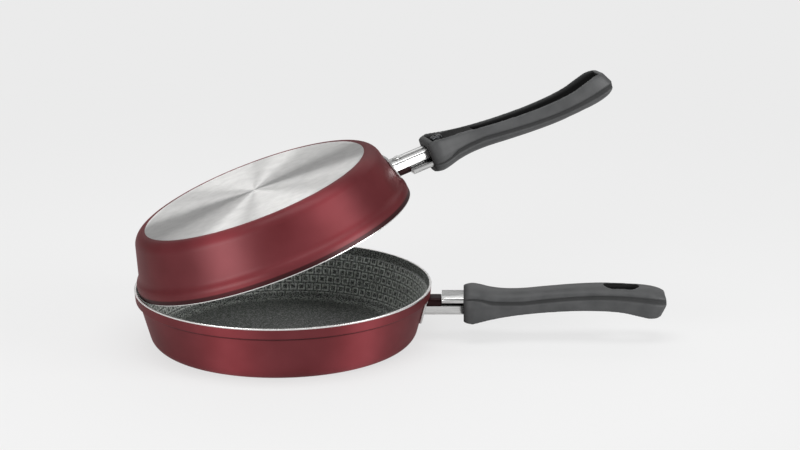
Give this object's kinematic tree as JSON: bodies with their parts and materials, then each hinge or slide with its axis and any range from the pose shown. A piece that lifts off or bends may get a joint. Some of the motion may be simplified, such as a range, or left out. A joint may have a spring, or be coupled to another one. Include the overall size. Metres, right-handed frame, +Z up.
{
  "type": "double omelette pan",
  "caption": "Double omelette pan: a shallow red frying pan with a second one turned over on top, nested rim in rim and tipped open, each with a steel bracket and a hollow black grip.",
  "frame": {"origin": "middle of the lower pan's flat base, on the surface that it stands on", "axes": "+X towards the lower grip, +Z up, +Y away from the viewer of the picture"},
  "size_m": [0.3719, 0.208, 0.1763],
  "materials": {
    "lacquer": "pressed aluminium, wine-red satin lacquer outside, dark non-stick inside, bare turned base and rim",
    "steel": "polished stainless steel",
    "zinc_steel": "zinc-plated steel",
    "bakelite": "black moulded phenolic, satin"
  },
  "bodies": {
    "lower": {"lower_pan": "lacquer", "lower_lug": "lacquer", "lower_rail": "steel", "lower_rivet": "steel", "lower_cover_strip": "steel", "lower_grip": "bakelite", "lower_spacer": "zinc_steel", "lower_washer": "zinc_steel", "lower_screw": "zinc_steel"},
    "upper": {"upper_pan": "lacquer", "upper_lug": "lacquer", "upper_rail": "steel", "upper_rivet": "steel", "upper_cover_strip": "steel", "upper_grip": "bakelite", "upper_spacer": "zinc_steel", "upper_washer": "zinc_steel", "upper_screw": "zinc_steel"}
  },
  "joints": [
    {"name": "tip_open", "type": "hinge", "parent": "lower", "child": "upper", "pos_m": [-0.10804, -0.00756, 0.0364], "axis": [0.0698, -0.9976, 0], "range_deg": [-19.4, 70.6]}
  ]
}
